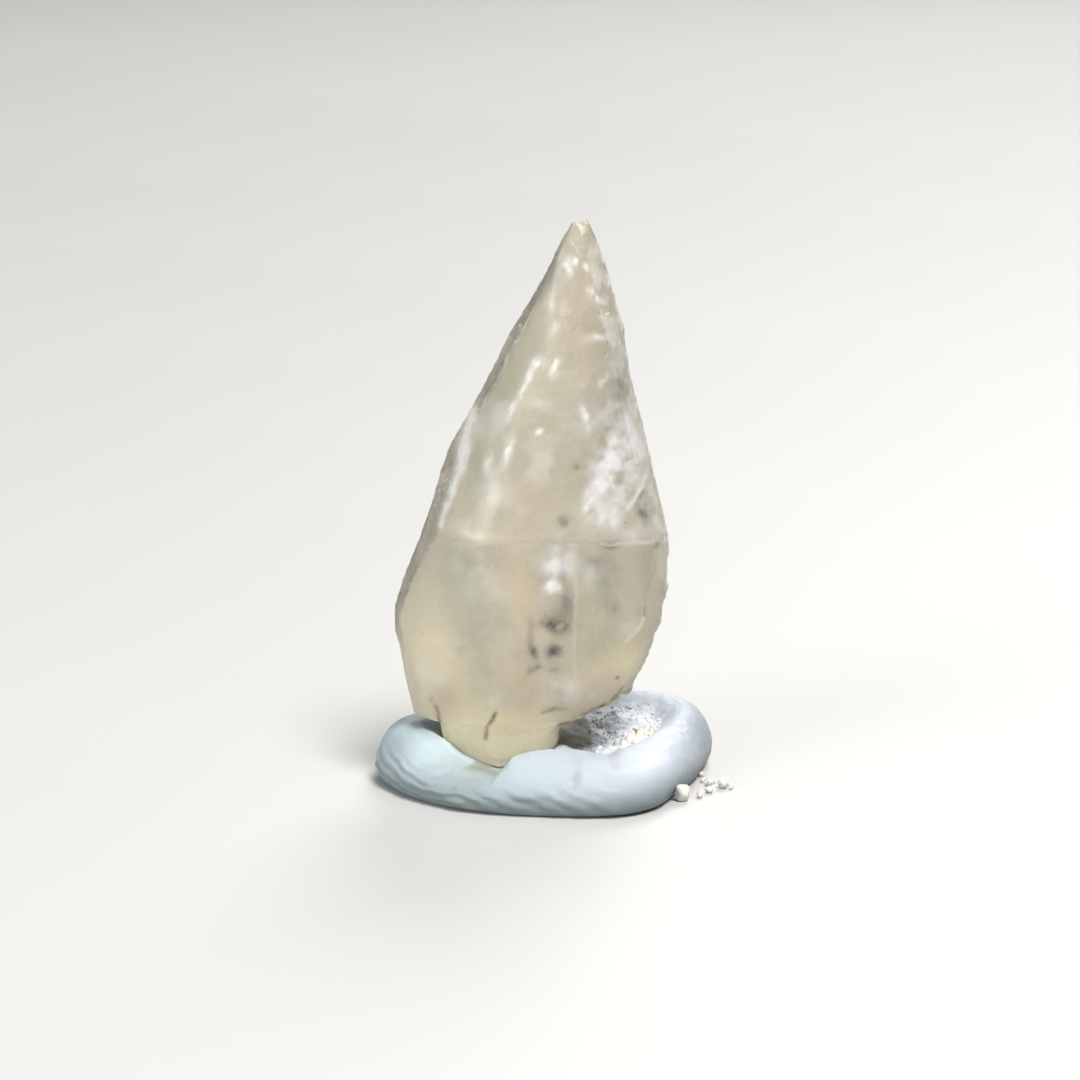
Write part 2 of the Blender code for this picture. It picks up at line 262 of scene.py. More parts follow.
# Shell-shaped bites: place, radius, depth.
BITES = (
    ((3.8, -1.6, 10.15), 0.62, 0.13), ((4.3, -0.6, 5.15), 0.42, 0.16),
    ((4.55, -0.1, 6.72), 0.2, 0.08), ((-3.95, -2.1, 2.75), 0.42, 0.14),
    ((1.38, 0.42, 20.0), 0.16, 0.045), ((3.1, -1.9, 3.6), 0.4, 0.08),
    ((1.9, -2.6, 2.85), 0.35, 0.07), ((2.6, 2.8, 4.8), 0.8, 0.16), ((-2.2, 3.6, 5.2), 0.9, 0.14),
    ((0.3, 3.5, 9.9), 0.6, 0.08), ((4.3, -0.05, 6.05), 0.36, 0.15),
    ((3.85, -0.1, 4.65), 0.32, 0.13), ((3.9, 1.7, 9.2), 0.5, 0.1), ((-4.6, 1.0, 7.6), 0.45, 0.08),
)

# The putty, one value for each direction, 30 degrees apart, from +X round by +Y.
REACH = (5.90, 6.90, 6.20, 5.40, 4.90, 5.30, 6.02, 5.95, 5.95, 6.10, 6.65, 5.78)
CREST_HEIGHT = (2.10, 2.35, 2.25, 2.10, 1.90, 1.95, 2.10, 1.95, 1.30, 1.55, 1.60, 1.80)
CREST_SHARE = (0.83, 0.78, 0.74, 0.74, 0.76, 0.80, 0.80, 0.72, 0.62, 0.55, 0.61, 0.74)
LIP_HEIGHT = (0.95, 1.00, 1.15, 1.20, 1.25, 1.40, 1.55, 1.50, 1.12, 1.22, 1.15, 0.95)
# In the seat: how far in from the crest to the lip, and how much of the height is left there.
SEAT_SLOPE = (
    (0.0, 0.04, 0.08, 0.12, 0.16, 0.21, 0.40, 0.70, 0.85, 1.0),
    (1.0, 0.985, 0.93, 0.84, 0.72, 0.62, 0.53, 0.42, 0.26, 0.0),
)
REST_SHARE = 0.92
BULGE_HEIGHT = 0.60
SEAT_HEIGHT = 0.98
LIP_GAP = 0.04
LEAST_CREST_WIDTH = 0.18
PUTTY_COLUMNS = 420
# The lobe pinched up in front of the foot and the dip to its left: change of crest and of lip.
LOBE_RISE, LOBE_LIP_RISE = 0.20, 0.22
DIP_FALL, DIP_LIP_FALL = 0.26, 0.08
# The finger ridges: how far apart, how high, and how they lean, in radians.
RIDGE_GAP, RIDGE_HEIGHT, RIDGE_LEAN = 0.45, 0.042, 0.42
ROLL_RIDGE_GAP, ROLL_RIDGE_HEIGHT = 0.50, 0.040
# Pleats pressed in the front: points x, z, then half width and strength.
PLEATS = (
    (((-1.35, 1.45), (-1.75, 1.05), (-1.2, 0.7), (-0.2, 0.5)), 0.20, 0.8),
    (((1.25, 2.0), (1.10, 1.2), (1.5, 0.8)), 0.18, 0.5),
    (((2.54, 2.0), (2.45, 1.3)), 0.20, 0.4),
)
PLEAT_DEPTH = 0.10
# Handling marks and painted shade, as x, z, half height, half width, lean and strength.
SMUDGES_AND_SHADE = (
    (1.21, 1.35, 0.22, 0.14, 0, 0.7), (2.54, 1.62, 0.16, 0.20, 0, 0.7),
    # The two low, wide rows paint shade along the bottom of the front.
    (-3.3, 0.35, 0.30, 1.6, 0, 0.5), (-0.6, 0.5, 0.25, 1.5, 0, 0.3),
)
# A dark gully across the seat, as points x, y, half width and strength.
GULLY = ((((2.2, 0.9), (2.6, 0.2), (2.8, -0.4)), 0.12, 0.7),)

# How much larger than the set grain size each kind of grain is.
GLINT_SCALE, CREAM_SCALE = 0.9, 2.0
# Crumbs on the surface beside the putty: x, y, radius.
CRUMBS = (
    (4.94, -3.6, 0.29), (5.66, 0.6, 0.07), (5.74, -0.27, 0.11), (5.75, -1.05, 0.09),
    (5.88, -0.6, 0.05), (5.59, -3.2, 0.12), (5.95, -2.51, 0.14), (5.87, -1.54, 0.07),
    (6.01, -1.6, 0.11), (6.19, -1.2, 0.05), (6.47, -1.88, 0.2), (6.74, -2.03, 0.09),
)

# The camera: focal length and width of the picture in its own pixels, the sensor's width in mm,
# and how far right it stands in mm. The lights aim at a height in metres.
FOCAL_PIXELS, PICTURE_PIXELS = 4170.0, 1080.0
SENSOR_WIDTH = 36.0
CAMERA_ASIDE = -0.184
LIGHT_AIM_HEIGHT = 0.009


def ease(value, low=0.0, high=1.0):
    """A smooth step from 0 at low to 1 at high: 3t² - 2t³ of the clipped share t."""
    share = np.clip((value - low) / (high - low), 0.0, 1.0)
    return share * share * (3.0 - 2.0 * share)


def hashed(cells, seed):
    """A number from 0 to 1 for each whole-number cell address, the same on every run.

    The address and the seed are mixed by large odd multipliers and by shifted exclusive ors.
    """
    cells = cells.astype(np.int64)
    mixed = cells[..., 0] * 73856093 ^ cells[..., 1] * 19349663 ^ cells[..., 2] * 83492791
    mixed = (mixed ^ (seed * 40503 + 977)) & 0x7FFFFFFF
    mixed = ((mixed ^ (mixed >> 13)) * 1274126177) & 0x7FFFFFFF
    mixed = ((mixed ^ (mixed >> 15)) * 668265263) & 0x7FFFFFFF
    return ((mixed ^ (mixed >> 11)) & 0xFFFFFF) / float(0xFFFFFF)


def swell(points, size, seed):
    """Noise from -1 to 1: hashed numbers at the corners of cubes of this size, eased between."""
    place = points / size
    cell = np.floor(place)
    share = ease(place - cell)
    total = np.zeros(points.shape[:-1])
    for corner in itertools.product((0, 1), repeat=3):
        weight = np.prod(np.where(corner, share, 1.0 - share), axis=-1)
        total += weight * hashed(cell + corner, seed)
    return 2.0 * total - 1.0


def layered(points, size, seed, layers=4):
    """Swells summed over halving sizes, each half as strong as the one before."""
    return sum(swell(points, size / 2**k, seed + k) / 2**k for k in range(layers))


def scars(points, size, seed):
    """Shell-shaped scars with ridges between: the least, over hashed centres c, of
    |p - c|² + tilt · (p - c), in cells of this size."""
    place = points / size
    cell = np.floor(place)
    least = np.full(points.shape[:-1], 9.0)
    for step in itertools.product((-1, 0, 1), repeat=3):
        other = cell + step
        offset = place - other - np.stack([hashed(other, seed + k) for k in range(3)], -1)
        tilt = np.stack([hashed(other, seed + 5 + k) for k in range(3)], -1) - 0.5
        least = np.minimum(least, (offset * (offset + 0.9 * tilt)).sum(-1))
    return (least - 0.2) * size


def spots(x, z, rows):
    """Leaning ovals: 1 - the product over the rows of (1 - strength * exp(-d²))."""
    kept = np.ones(x.shape)
    for cx, cz, tall, wide, lean, strength in rows:
        lean = math.radians(lean)
        along = ((x - cx) * math.sin(lean) + (z - cz) * math.cos(lean)) / tall
        across = ((x - cx) * math.cos(lean) - (z - cz) * math.sin(lean)) / wide
        kept *= 1.0 - strength * np.exp(-(along**2) - across**2)
    return 1.0 - kept


def strokes(x, z, rows):
    """Lines: the strength times exp(-(d/w)²), with d the distance to the nearest run."""
    best = np.zeros(x.shape)
    for points, width, strength in rows:
        for (ax, az), (bx, bz) in zip(points, points[1:]):
            run = np.array((bx - ax, bz - az))
            share = ((x - ax) * run[0] + (z - az) * run[1]) / (run @ run)
            share = np.clip(share, 0.0, 1.0)
            distance = np.hypot(x - ax - share * run[0], z - az - share * run[1])
            best = np.maximum(best, strength * np.exp(-((distance / width) ** 2)))
    return best


def facing_front(normals):
    """A share from 0 to 1 of how much each point faces the side that shows best."""
    return ease(-normals[..., 1], -0.05, 0.3)


def outward(grid):
    """Unit normals of a grid closed round its columns: its column run crossed with its row run."""
    across = np.roll(grid, -1, 1) - np.roll(grid, 1, 1)
    normals = np.cross(across, np.gradient(grid, axis=0))
    return normals / (np.linalg.norm(normals, axis=-1, keepdims=True) + 1e-12)


def softened(grid, rounds, spread=1.0):
    """The grid with each point drawn to its neighbours, the first and last row kept.

    Each round adds spread * (0.5 * the way to the middle of the two beside it + 0.04 * the way
    to the middle of the rows above and below). Spread is from 0 to 1 for each column.
    """
    for _ in range(rounds):
        inner = grid[1:-1]
        beside = 0.5 * (np.roll(inner, 1, 1) + np.roll(inner, -1, 1)) - inner
        above = 0.5 * (grid[:-2] + grid[2:]) - inner
        moved = inner + spread * (0.5 * beside + 0.04 * above)
        grid = np.concatenate((grid[:1], moved, grid[-1:]))
    return grid


def corner_runs():
    """Points along each corner line: cubic between listed points, straight at sharp levels."""
    lines = np.array(list(CORNERS.values())).transpose(1, 0, 2)
    runs = []
    for k, count in enumerate(ROWS):
        t = (np.arange(count) / count)[:, None, None]
        start, end = lines[k], lines[k + 1]
        leave = end - start if k in SHARP_LEVELS else (end - lines[k - 1]) / 2
        arrive = end - start if k + 1 in SHARP_LEVELS else (lines[k + 2] - start) / 2
        runs.append(
            (2 * t**3 - 3 * t**2 + 1) * start
            + (t**3 - 2 * t**2 + t) * leave
            + (3 * t**2 - 2 * t**3) * end
            + (t**3 - t**2) * arrive
        )
    return np.concatenate((*runs, lines[-1][None]))


@functools.cache
def crystal_body():
    """The crystal's faces: straight from corner line to corner line, each a little crowned.

    A face's point is a + (b - a)t + 4t(1 - t) * crown * the horizontal way out, and then the
    whole is softened, least at the crisp edges. Gives the grid, each column's face and share t,
    and each row's level.
    """
    runs = corner_runs()
    faces = []
    for side, count in enumerate(COLUMNS):
        start, end = runs[:, side][:, None], runs[:, (side + 1) % len(COLUMNS)][:, None]
        t = (np.arange(count) / count)[None, :, None]
        run = end - start
        way = np.stack((run[..., 1], -run[..., 0], 0.0 * run[..., 0]), -1)
        length = np.linalg.norm(way, axis=-1, keepdims=True) + 1e-9
        crown = CROWNS[side] * np.minimum(1.0, length) * way / length
        faces.append(start + run * t + 4.0 * t * (1.0 - t) * crown)
    face = np.repeat(np.arange(len(COLUMNS)), COLUMNS)
    share = np.concatenate([np.arange(count) / count for count in COLUMNS])
    level = np.concatenate([k + np.arange(n) / n for k, n in enumerate(ROWS)] + [[len(ROWS)]])
    edge = np.minimum(share, 1.0 - share)
    crisp = (face <= SLIVER) | (face == EDGE_BAND) | ((face == RIGHT_FACE) & (share > 0.7))
    beside_bevel = (face == LEFT_FACE) * (edge < 0.2) * (share < 0.5)
    spread = np.where(crisp, CRISP_SPREAD, 1.0) * (1.0 - 0.9 * beside_bevel)
    grid = softened(np.concatenate(faces, 1), SOFTENING_ROUNDS, spread[None, :, None])
    return grid, face[None], share[None], level[:, None]


def crystal_marks(grid, normals):
    """How strongly each kind of mark shows at each point, from 0 to 1."""
    _, face, share, level = crystal_body()
    warp = 0.07 * layered(grid, 0.5, 3, 3), 0.07 * layered(grid, 0.5, 9, 3)
    x, z = grid[..., 0] + warp[0], grid[..., 2] + warp[1]
    front = facing_front(normals)
    behind = ease(normals[..., 1], -0.1, 0.3)
    cloud = layered(grid, 1.1, 21)
    grain = layered(grid, 0.3, 25, 3)
    fray = np.clip(0.95 + 0.8 * grain + 0.6 * layered(grid, 0.16, 27, 2), 0.0, 1.6)
    upper = ease(level, 3.0, 4.0) * (1.0 - ease(level, 9.3, 9.8))
    sliver = (face == SLIVER) * upper
    beside_sliver = (face == LEFT_FACE) * (1.0 - ease(share, 0.0, 0.10)) * upper
    band = (face == EDGE_BAND) * ease(level, 4.4, 5.1) * (1.0 - ease(level, 9.4, 9.9))
    beside_band = (face == RIGHT_FACE) * ease(share, 0.72, 1.0) * ease(level, 5.0, 5.6)
    beside_band = beside_band * (1.0 - ease(level, 9.3, 9.7))
    under = ease(level, 1.0, 1.1) * (1.0 - ease(level, 1.9, 2.1)) * (face > FRONT_FACE)
    frost = 0.9 * sliver + 0.7 * band + 0.8 * beside_band + 0.4 * beside_sliver + 0.5 * under
    frost = frost * np.clip(0.8 + 0.7 * grain, 0.0, 1.3) + 0.3 * behind * ease(cloud, 0.0, 0.7)
    frost = np.clip(frost, 0.0, 1.0)
    veil = spots(x, z, VEILS) * front
    veil *= np.clip(0.62 + 1.0 * layered(grid, 0.6, 43, 3) + 0.5 * cloud, 0.0, 1.5)
    veil += front * ease(layered(grid, 1.5, 45), 0.1, 0.8) * (0.08 + 0.2 * ease(z, 8.0, 10.0))
    veil += 0.45 * (band + 0.6 * beside_band) * ease(layered(grid, 0.5, 49, 3), -0.3, 0.6)
    veil += behind * 0.6 * ease(layered(grid, 2.4, 41), 0.25, 0.9)
    side = ease(-normals[..., 1], -0.5, -0.1)
    shade = np.maximum(spots(x, z, SHADE) * front, strokes(x, z, DIM_LINES) * side)
    shade = shade * (0.9 + 0.5 * grain) + 0.3 * ease(layered(grid, 1.3, 47), 0.1, 1.0)
    bruise = spots(x, z, BRUISES_AND_HIGHLIGHTS) ** 0.75 * fray * front
    # White lines; the one down the left bevel is a painted highlight.
    streak = strokes(x, z, WHITE_LINES) * side * np.clip(1.1 + 0.4 * grain, 0.6, 1.3)
    bruise = np.maximum(bruise, streak)
    # White flecks and painted glints, most on the rough skin.
    fleck = ease(swell(grid, 0.11, 51), 0.35, 0.75) * ease(layered(grid, 0.9, 53), -0.4, 0.5)
    bruise = np.maximum(bruise, fleck * (0.10 + 0.95 * frost))
    # Painted glints and bright crumbs along the outer edges of the sliver and of the band.
    edges = np.minimum(share, 1.0 - share) * np.array(COLUMNS)[face]
    edge_glint = (1.0 - ease(edges, 0.0, 3.2)) * (face == SLIVER)
    edge_glint = edge_glint + (1.0 - ease(edges, 2.0, 7.0)) * ((face == EDGE_BAND) & (share > 0.5))
    edge_glint = edge_glint * upper * ease(layered(grid, 0.25, 57, 2), -0.2, 0.5)
    bruise = np.maximum(bruise, 0.8 * edge_glint)
    ragged = 0.85 + 0.6 * grain + 0.15 * layered(grid, 0.14, 69, 2)
    smoke = spots(x, z, SMOKE) * front * np.clip(ragged, 0.0, 1.2)
    # Painted shade: the narrow sliver on the left edge is darkened.
    smoke += sliver * (0.34 + 0.3 * layered(grid, 0.7, 65)) * (1.0 - 0.4 * ease(level, 4.0, 6.0))
    smoke += 0.25 * beside_band * ease(layered(grid, 0.5, 67), 0.0, 0.6)
    speck = ease(swell(grid, 0.13, 63), 0.62, 0.85) * ease(layered(grid, 1.1, 64), 0.0, 0.6)
    # Painted shade along the dark strip at the upper left edge.
    smoke += 0.3 * strokes(x, z, DIM_LINES[:1]) * side
    smoke += speck * (0.15 + 0.4 * frost) + behind * 0.3 * ease(layered(grid, 0.5, 61), 0.6, 1.3)
    ochre = np.maximum(spots(x, z, OCHRE), strokes(x, z, STAINED_CRACKS)) * front
    rim = np.exp(-(((level - 2.0) / 0.17) ** 2)) * ((face == RIGHT_FACE) | (face == EDGE_BAND))
    ochre = np.maximum(ochre, 0.75 * rim * np.clip(0.8 + 0.9 * grain, 0.0, 1.3))
    ochre = np.maximum(ochre, behind * 0.35 * ease(layered(grid, 0.3, 71), 0.75, 1.4))
    rust = ease(layered(grid, 0.35, 75, 3), 0.45, 0.8) * (0.5 * sliver + 0.35 * beside_band)
    # Painted glow: the lower body lighter all round towards the foot.
    low = 1.0 - ease(grid[..., 2], 2.5, 7.5)
    return {
        "green": spots(x, z, GREEN) * front + behind * 0.5 * ease(cloud, -0.2, 0.8),
        "straw": np.clip((spots(x, z, STRAW_AND_GLOW) + 0.3 * low) * front + behind * low * 0.6, 0.0, 1.0),
        "warm": spots(x, z, WARM) * front + behind * 0.4 * ease(layered(grid, 3.0, 81), 0.0, 0.8),
        "shade": np.clip(shade, 0.0, 1.0),
        "veil": np.clip(veil, 0.0, 1.0),
        "smoke": np.clip(smoke, 0.0, 1.0),
        "ochre": np.clip(np.maximum(ochre * (0.85 + 0.4 * grain), rust), 0.0, 1.0),
        "bruise": np.clip(bruise, 0.0, 1.0),
        "frost": frost,
    }


@functools.cache
def crystal_skin():
    """The crystal's surface with its chips, and the marks on it.

    Each point moves along its normal by the sum of slow swells, fine grain, shell-shaped scars
    where the skin is rough or broken, the rise of the bruises and painted highlights, the
    grooves of the crease and of the stained cracks, and round bites.
    """
    grid, face, share, level = crystal_body()
    normals = outward(grid)
    marks = crystal_marks(grid, normals)
    x, z = grid[..., 0], grid[..., 2]
    front = facing_front(normals)
    ends = ease(level, 0.0, 0.4)
    rough = np.clip(marks["frost"] + 0.5 * ease(level, 8.9, 9.6), 0.0, 1.0)
    broken = np.clip(0.3 + 1.0 * (face > EDGE_BAND) + 0.8 * (level < 2), 0.0, 1.0)
    stretched = grid * np.array((1.0, 1.0, 0.12))
    lift = 0.045 * layered(grid, 2.4, 101) + 0.006 * layered(grid, 0.3, 105, 3)
    lift += 0.010 * layered(stretched, 0.5, 111, 2) * (level < 5)
    lift += rough * (0.22 * scars(grid, 0.30, 121) + 0.012 * layered(grid, 0.15, 131, 2))
    lift += 0.10 * scars(grid, 1.6, 141) * broken
    edge = np.exp(-(((face + share - EDGE_BAND - 1.0) / 0.5) ** 2)) * ease(level, 1.2, 1.9)
    chipped = 0.26 * scars(grid, 0.8, 151) + 0.45 * scars(grid, 0.33, 155)
    lift += edge * (1.0 - ease(level, 4.6, 5.4)) * chipped
    rim = np.exp(-(((level - 2.0) / 0.15) ** 2)) * (face > FRONT_FACE)
    lift += 0.018 * ease(marks["bruise"], 0.2, 0.8) * front + 0.45 * rim * scars(grid, 0.35, 161)
    lift -= 0.02 * strokes(x, z, ((CREASE, 0.05, 1.0),)) * front
    lift -= 0.05 * strokes(x, z, STAINED_CRACKS) * front
    for centre, radius, depth in BITES:
        distance = np.linalg.norm(grid - centre, axis=-1) / radius
        lift -= depth * np.clip(1.0 - distance**2, 0.0, 1.0)
    skin = grid + normals * (lift * ends)[..., None]
    return skin, marks


def capped(skin, start, end):
    """The grid closed by rows that run in to a point at each end.

    Each coordinate goes the share t of the way, but the height at the last end goes t³.
    """
    inward = (np.arange(1, CAP_ROWS) / CAP_ROWS)[:, None, None]
    first = np.array(start) + (skin[0] - start) * inward
    last = skin[-1] + (np.array(end) - skin[-1]) * inward ** np.array((1.0, 1.0, 3.0))
    return np.concatenate((first, skin, last))


def closed_faces(rows, columns):
    """Quads of a grid closed round its columns, and a fan of triangles to a point at each end."""
    number = 1 + np.arange(rows * columns).reshape(rows, columns)
    beside = np.roll(number, -1, 1)
    quads = np.stack((number[:-1], beside[:-1], beside[1:], number[1:]), -1).reshape(-1, 4)
    first = np.stack((0 * number[0], beside[0], number[0]), -1)
    last = np.stack((0 * number[-1] + rows * columns + 1, number[-1], beside[-1]), -1)
    return quads, first, last


def closed_mesh(name, grid, start, end):
    """A mesh of a grid of points and of the points that close its two ends."""
    points = np.concatenate(([start], grid.reshape(-1, 3), [end]))
    return mesh_of(name, points, closed_faces(*grid.shape[:2]))


def mesh_of(name, points, kinds):
    """A smooth mesh of points in ring millimetres and of faces, an array per corner count."""
    mesh = bpy.data.meshes.new(name)
    mesh.vertices.add(len(points))
    mesh.vertices.foreach_set("co", ((points + RING_CENTRE) * MM).ravel())
    sizes = np.concatenate([np.full(len(kind), kind.shape[1]) for kind in kinds])
    corners = np.concatenate([kind.ravel() for kind in kinds])
    mesh.loops.add(len(corners))
    mesh.loops.foreach_set("vertex_index", corners)
    mesh.polygons.add(len(sizes))
    mesh.polygons.foreach_set("loop_start", np.cumsum(sizes) - sizes)
    mesh.update(calc_edges=True)
    mesh.shade_smooth()
    if mesh.validate():
        raise RuntimeError(f"the mesh of {name} has faces that don't hold")
    return mesh


def add_marks(mesh, marks, skipped):
    """Store each mark as a number on the points; skipped gives the rows of the caps."""
    for name, values in marks.items():
        first, last = (np.repeat(values[k][None], skipped, 0) for k in (0, -1))
        whole = np.concatenate((first, values, last)).ravel()
        ends = values[0].mean(), values[-1].mean()
        whole = np.concatenate(([ends[0]], whole, [ends[1]])).astype(np.float32)
        mesh.attributes.new(name, "FLOAT", "POINT").data.foreach_set("value", whole)


def add_piece(name, mesh, material, node=None):
    """Put a finished mesh in the scene, riding on the body and standing for its CAD node."""
    mesh.materials.append(material)
    piece = bpy.data.objects.new(name, mesh)
    bpy.context.scene.collection.objects.link(piece)
    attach(piece, BODY)
    if node:
        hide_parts(node)
    return piece


class Nodes:
    """A material being put together, with short ways to add its nodes."""

    def __init__(self, name):
        self.material = bpy.data.materials.new(name)
        self.material.use_nodes = True
        self.tree = self.material.node_tree
        self.shader = self.tree.nodes["Principled BSDF"]
        self.place = self.node("ShaderNodeTexCoord").outputs["Object"]

    def node(self, kind, **settings):
        node = self.tree.nodes.new(kind)
        for key, value in settings.items():
            setattr(node, key, value)
        return node

    def feed(self, socket, value):
        if isinstance(value, bpy.types.NodeSocket):
            self.tree.links.new(value, socket)
        elif isinstance(value, (int, float)):
            socket.default_value = value
        else:
            socket.default_value = (*value, 1.0)[: len(socket.default_value)]

    def noise(self, size, detail=3.0):
        """Noise from 0 to 1 whose features are about size millimetres wide."""
        node = self.node("ShaderNodeTexNoise")
        node.inputs["Scale"].default_value = 1.0 / (size * MM)
        node.inputs["Detail"].default_value = detail
        self.tree.links.new(self.place, node.inputs["Vector"])
        return node.outputs["Fac"]

    def mark(self, name):
        return self.node("ShaderNodeAttribute", attribute_name=name).outputs["Fac"]

    def sum(self, kind, *values):
        node = self.node("ShaderNodeMath", operation=kind)
        for socket, value in zip(node.inputs, values):
            self.feed(socket, value)
        return node.outputs[0]

    def span(self, value, low, high, start=0.0, end=1.0):
        """Value between low and high, carried to start to end and clipped."""
        node = self.node("ShaderNodeMapRange")
        ends = {"From Min": low, "From Max": high, "To Min": start, "To Max": end}
        for key, number in ends.items():
            node.inputs[key].default_value = number
        self.tree.links.new(value, node.inputs["Value"])
        return node.outputs["Result"]

    def mix(self, share, first, second):
        node = self.node("ShaderNodeMix", data_type="RGBA")
        self.feed(node.inputs["Factor"], share)
        self.feed(node.inputs[6], first)
        self.feed(node.inputs[7], second)
        return node.outputs[2]

    def bump(self, height, depth, strength=1.0):
        """Relief of depth millimetres on the shader's normal."""
        node = self.node("ShaderNodeBump")
        node.inputs["Strength"].default_value = strength
        node.inputs["Distance"].default_value = depth * MM
        self.tree.links.new(height, node.inputs["Height"])
        self.tree.links.new(node.outputs["Normal"], self.shader.inputs["Normal"])

    def set(self, **values):
        """Set the shader's own sockets; a name's underscores stand for spaces."""
        for key, value in values.items():
            self.feed(self.shader.inputs[key.replace("_", " ")], value)


def crystal_material(settings):
    """Cloudy crystal: tinted zones, white veils and bruises, smoky flaws and ochre stains,
    with painted glow near the foot, painted highlights and painted shade.
    """
    made = Nodes("crystal_body")
    cloud, drift = made.noise(3.0), made.noise(2.2)
    mottle = made.noise(0.8, 4.0)
    fine = made.noise(0.10, 3.0)
    pale = tuple(min(1.0, part * 1.16) for part in settings.body_colour)
    colour = made.mix(made.span(cloud, 0.35, 0.65), settings.body_colour, pale)
    colour = made.mix(made.span(drift, 0.5, 0.7, 0.0, 0.35), colour, settings.green_colour)
    colour = made.mix(made.span(drift, 0.5, 0.3, 0.0, 0.35), colour, settings.warm_colour)
    # Zone colours; the yellowish one near the foot carries painted glow.
    for zone in ("green", "straw", "warm"):
        colour = made.mix(made.mark(zone), colour, getattr(settings, zone + "_colour"))
    dim = made.sum("MULTIPLY", made.mark("shade"), made.span(mottle, 0.25, 0.75, 0.5, 1.0))
    colour = made.mix(dim, colour, settings.shade_colour)
    shade = tuple(part * 0.72 for part in settings.body_colour)
    colour = made.mix(made.span(fine, 0.55, 0.8, 0.0, 0.35), colour, shade)
    dirt = made.sum("MULTIPLY", made.mark("frost"), made.span(mottle, 0.3, 0.7, 0.35, 0.9))
    colour = made.mix(dirt, colour, settings.frost_colour)
    cloudy = made.sum("MULTIPLY", made.mark("veil"), made.span(mottle, 0.3, 0.65, 0.6, 1.1))
    colour = made.mix(cloudy, colour, settings.veil_colour)
    # Smoky flaws with painted shade on the left edge, and ochre stains.
    for zone in ("smoke", "ochre"):
        colour = made.mix(made.mark(zone), colour, getattr(settings, zone + "_colour"))
    # White bruises and painted highlights.
    colour = made.mix(made.mark("bruise"), colour, BRUISE_AND_HIGHLIGHT_COLOUR)
    rough = made.span(mottle, 0.25, 0.75, 0.34, 0.48)
    rough = made.sum("MULTIPLY_ADD", made.mark("frost"), 0.25, rough)
    spread = made.sum("MULTIPLY", made.mark("frost"), 0.6)
    spread = made.sum("MAXIMUM", made.mark("bruise"), spread)
    spread = made.sum("MAXIMUM", made.sum("MULTIPLY", cloudy, 0.7), spread)
    made.set(
        Base_Color=colour,
        Roughness=rough,
        IOR=settings.ior,
        Transmission_Weight=settings.clearness,
        Subsurface_Weight=made.span(spread, 0.0, 1.0, 1.0, 0.05),
        Subsurface_Radius=(1.0, 0.90, 0.68),
        Subsurface_Scale=settings.glow_depth,
    )
    made.bump(made.sum("MULTIPLY_ADD", fine, 0.5, mottle), 0.022)
    absorb = made.node("ShaderNodeVolumeAbsorption")
    made.feed(absorb.inputs["Color"], settings.deep_colour)
    made.feed(absorb.inputs["Density"], settings.deep_density)
    output = made.tree.nodes["Material Output"]
    made.tree.links.new(absorb.outputs["Volume"], output.inputs["Volume"])
    return made.material


def colour_of(name, description, default):
    """A colour setting for the sidebar."""
    return FloatVectorProperty(
        name=name, description=description, subtype="COLOR", default=default, min=0.0, max=1.0
    )


def amount(unit, name, description, default, low=0.0):
    """A length in metres or a power in watts, by its unit, for the sidebar."""
    return FloatProperty(name=name, description=description, default=default, min=low, unit=unit)


def count_of(name, description, default):
    """How many small pieces there are, for the sidebar."""
    return IntProperty(name=name, description=description, default=default, min=0)


class CrystalSettings(PropertyGroup):
    body_colour: colour_of("Body", "Colour of the cloudy body", (0.52, 0.48, 0.392))
    green_colour: colour_of("Green zones", "Colour of the greenish zones", (0.53, 0.515, 0.385))
    # Yellowish tint and painted glow near the foot.
    straw_colour: colour_of("Straw zones", "Colour near the foot", (0.86, 0.78, 0.565))
    warm_colour: colour_of("Warm zones", "Colour of the pinkish bands", (0.655, 0.55, 0.415))
    shade_colour: colour_of("Dim zones", "Colour of the dim, clearer zones", (0.43, 0.42, 0.34))
    frost_colour: colour_of("Rough skin", "Colour of the broken edges", (0.62, 0.59, 0.48))
    veil_colour: colour_of("Veils", "Colour of the white veils", (0.95, 0.955, 0.965))
    # Dark flaws and painted shade on the left edge share this colour.
    smoke_colour: colour_of("Flaws", "Colour of the dark flaws", (0.10, 0.09, 0.075))
    ochre_colour: colour_of("Stains", "Colour of the stains in the cracks", (0.25, 0.13, 0.035))
    deep_colour: colour_of(
        "Depth tint", "Colour that depth gives the clear part", (0.97, 0.95, 0.85)
    )
    deep_density: FloatProperty(
        name="Depth tint per metre", description="How fast depth tints", default=120.0, min=0.0
    )
    clearness: FloatProperty(
        name="Clearness", description="Share of the light that passes clear", default=0.5,
        min=0.0, max=1.0, subtype="FACTOR",
    )
    ior: FloatProperty(
        name="Index", description="Refractive index of the crystal", default=1.66, min=1.0, max=3.0
    )
    glow_depth: amount("LENGTH", "Glow depth", "How far light spreads in the cloudy body", 0.0007)


class MINERAL_OT_crystal(Operator):
    """Build the crystal's body"""

    bl_idname = "mineral.crystal"
    bl_label = "Crystal"

    def execute(self, context):
        skin, marks = crystal_skin()
        foot = skin[0].mean(0)
        mesh = closed_mesh("crystal_body", capped(skin, foot, TIP_PEAK), foot, TIP_PEAK)
        add_marks(mesh, marks, CAP_ROWS - 1)
        material = crystal_material(context.scene.mineral_crystal)
        add_piece("crystal_body", mesh, material, "crystal")
        return {"FINISHED"}


